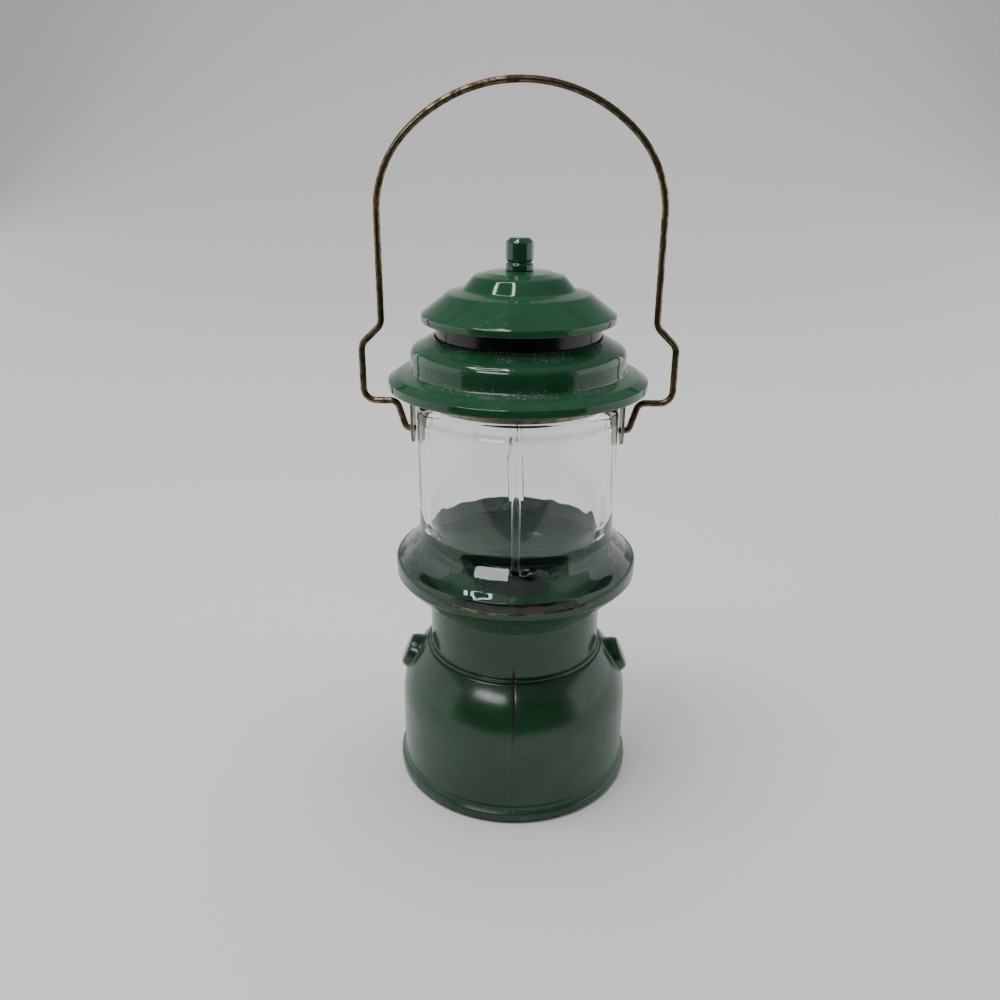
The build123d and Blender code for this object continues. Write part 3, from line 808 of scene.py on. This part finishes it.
def ring_material():
    n = Nodes("dull_stamped_metal")
    n.set(Metallic=0.9)
    patch = n.ramp(n.noise(500, 4.0, 0.6), 0.4, 0.7)
    base = n.mix(patch, rgb(0.40, 0.37, 0.27), rgb(0.22, 0.19, 0.12))
    stain = n.ramp(n.noise(190, 3.0, 0.6), 0.55, 0.72)
    stained = n.mix(n.math("MULTIPLY", stain, 0.6), base, rgb(0.12, 0.07, 0.03))
    n.link(stained, n.shader.inputs["Base Color"])
    n.link(n.ramp(n.noise(700, 3.0), 0.3, 0.8, 0.34, 0.5), n.shader.inputs["Roughness"])
    n.link(n.bump(n.noise(1800, 3.0), 0.3, 0.00006), n.shader.inputs["Normal"])
    return n.material


def liner_material():
    n = Nodes("pulp_liner")
    fibre = n.noise(900, 5.0, 0.7, n.stretched((1, 0.3, 1)))
    n.link(n.mix(fibre, rgb(0.72, 0.68, 0.58), rgb(0.85, 0.83, 0.75)), n.shader.inputs["Base Color"])
    n.link(n.ramp(fibre, 0.2, 0.8, 0.7, 0.9), n.shader.inputs["Roughness"])
    n.link(n.bump(fibre, 0.4, 0.0001), n.shader.inputs["Normal"])
    return n.material


def paint(piece, material):
    piece.data.materials.clear()
    piece.data.materials.append(material)


# ---- stage ----------------------------------------------------------------------------------
FLOOR_HALF = 2.4
BACK_Y = 1.7
BACK_CURVE = 0.9
BACK_TOP = 2.2


def build_stage():
    """A pale floor that curves up into a pale backdrop."""
    line = [(-FLOOR_HALF, 0.0), (BACK_Y - BACK_CURVE, 0.0)]
    for i in range(1, 17):
        a = radians(90 * i / 16)
        line.append((BACK_Y - BACK_CURVE + BACK_CURVE * sin(a), BACK_CURVE * (1 - cos(a))))
    line.append((BACK_Y, BACK_TOP))
    bm = bmesh.new()
    left = [bm.verts.new((-FLOOR_HALF, y, z)) for y, z in line]
    right = [bm.verts.new((FLOOR_HALF, y, z)) for y, z in line]
    for k in range(len(line) - 1):
        bm.faces.new((left[k], right[k], right[k + 1], left[k + 1]))
    mesh = bpy.data.meshes.new("stage_floor")
    bm.to_mesh(mesh)
    bm.free()
    mesh.shade_smooth()
    floor = bpy.data.objects.new("stage_floor", mesh)
    bpy.context.scene.collection.objects.link(floor)
    material = bpy.data.materials.new("pale_floor")
    material.use_nodes = True
    shader = material.node_tree.nodes["Principled BSDF"]
    shader.inputs["Base Color"].default_value = rgb(0.90, 0.90, 0.89)
    shader.inputs["Roughness"].default_value = 0.8
    mesh.materials.append(material)
    return floor


def area_light(name, place, target, width, height, power):
    light = bpy.data.lights.new(name, "AREA")
    light.shape = "RECTANGLE"
    light.size = width
    light.size_y = height
    light.energy = power
    lamp = bpy.data.objects.new(name, light)
    lamp.location = place
    lamp.rotation_euler = (Vector(target) - Vector(place)).to_track_quat("-Z", "Y").to_euler()
    lamp.visible_camera = False
    bpy.context.scene.collection.objects.link(lamp)
    return lamp


CARD_NEAR, CARD_FAR, CARD_HIGH = -0.19, -1.3, 1.15
CARD_NEAR_HALF, CARD_FAR_HALF, CARD_LIFT = 0.33, 1.7, 0.0008


def dark_cloth():
    material = bpy.data.materials.new("dark_cloth")
    material.use_nodes = True
    shader = material.node_tree.nodes["Principled BSDF"]
    shader.inputs["Base Color"].default_value = rgb(0.012, 0.011, 0.010)
    shader.inputs["Roughness"].default_value = 1.0
    return material


def dark_card(name, corners, cloth, seen_in_soft_light):
    """A dark cloth in front of the set, as a photographer hangs one: mainly the reflections see it."""
    bm = bmesh.new()
    bm.faces.new([bm.verts.new(p) for p in corners])
    mesh = bpy.data.meshes.new(name)
    bm.to_mesh(mesh)
    bm.free()
    mesh.materials.append(cloth)
    card = bpy.data.objects.new(name, mesh)
    bpy.context.scene.collection.objects.link(card)
    card.visible_camera = False
    card.visible_transmission = False
    card.visible_shadow = False
    card.visible_diffuse = seen_in_soft_light


def build_cards():
    cloth = dark_cloth()
    near, far = CARD_NEAR_HALF, CARD_FAR_HALF
    lying = ((-near, CARD_NEAR, CARD_LIFT), (near, CARD_NEAR, CARD_LIFT),
             (far, CARD_FAR, CARD_LIFT), (-far, CARD_FAR, CARD_LIFT))
    upright = ((-far, CARD_FAR, 0), (far, CARD_FAR, 0), (far, CARD_FAR, CARD_HIGH), (-far, CARD_FAR, CARD_HIGH))
    dark_card("dark_card_floor", lying, cloth, seen_in_soft_light=False)
    dark_card("dark_card_upright", upright, cloth, seen_in_soft_light=True)


def ring_light(name, middle, target, width, height, band, power):
    """Four strips round a dark middle, like a ring lamp."""
    aim = (Vector(target) - Vector(middle)).normalized()
    side = aim.cross(Vector((0, 1, 0))).normalized()
    up = side.cross(aim)
    strips = ((side * (width / 2), band, height), (side * (-width / 2), band, height),
              (up * (height / 2), width, band), (up * (-height / 2), width, band))
    for k, (offset, w, h) in enumerate(strips):
        place = Vector(middle) + offset
        lamp = area_light(f"{name}_{k}", place, place + aim, w, h, power * w * h)
        turn = Matrix((side, up, -aim)).transposed()
        lamp.rotation_euler = turn.to_euler()


def build_lights():
    area_light("wall_left", place=(-0.80, 0.30, 0.31), target=(0, 0.30, 0.31), width=1.5, height=0.62,
               power=2.7)
    area_light("wall_right", place=(0.85, 0.30, 0.31), target=(0, 0.30, 0.31), width=1.5, height=0.62,
               power=3.4)
    ring_light("ring", middle=(-0.120, -0.074, 0.45), target=(0, -0.005, 0.13), width=0.150, height=0.125,
               band=0.022, power=55.0)
    shine = area_light("key_front", place=(-0.30, -0.55, 0.56), target=(0, 0, 0.09), width=0.40, height=0.15,
                       power=2.0)
    shine.visible_diffuse = False
    soft = area_light("soft_top", place=(0, 0.35, 1.3), target=(0, 0.2, 0), width=1.6, height=1.4, power=12.0)
    soft.visible_glossy = False
    soft.visible_transmission = False
    world = bpy.data.worlds.new("studio")
    bpy.context.scene.world = world
    world.use_nodes = True
    back = world.node_tree.nodes["Background"]
    back.inputs["Color"].default_value = rgb(0.84, 0.86, 0.86)
    back.inputs["Strength"].default_value = 0.25


# ---- camera ---------------------------------------------------------------------------------
CAMERA_BACK = 0.21166
CAMERA_UP = 0.1592
LOOK_DOWN = radians(22.38)
TURN = radians(-1.11)
ROLL = radians(0.39)
LENS, SENSOR, SHIFT_UP = 32.17, 36.0, 0.015


def build_camera():
    forward = Vector((sin(TURN) * cos(LOOK_DOWN), cos(TURN) * cos(LOOK_DOWN), -sin(LOOK_DOWN)))
    right = Vector((cos(TURN), -sin(TURN), 0))
    up = right.cross(forward)
    tilted_right = right * cos(ROLL) + up * sin(ROLL)
    tilted_up = up * cos(ROLL) - right * sin(ROLL)
    data = bpy.data.cameras.new("camera")
    data.lens = LENS
    data.sensor_width = SENSOR
    data.shift_y = SHIFT_UP
    data.clip_start = 0.01
    camera = bpy.data.objects.new("camera", data)
    turn = Matrix((tilted_right, tilted_up, -forward)).transposed()
    camera.matrix_world = Matrix.Translation((0, -CAMERA_BACK, CAMERA_UP)) @ turn.to_4x4()
    bpy.context.scene.collection.objects.link(camera)
    bpy.context.scene.camera = camera


# ---- everything together --------------------------------------------------------------------
build_camera()
build_stage()
build_cards()
build_lights()
plastic = cap_material()
paint(build_glass(), glass_material())
paint(build_enamel(), enamel_material())
paint(build_ring(), ring_material())
paint(build_wire(), wire_material())
paint(build_drum(), plastic)
paint(build_hood(), plastic)
paint(build_knob(), plastic)
paint(build_core(), core_material())
paint(build_liner(), liner_material())
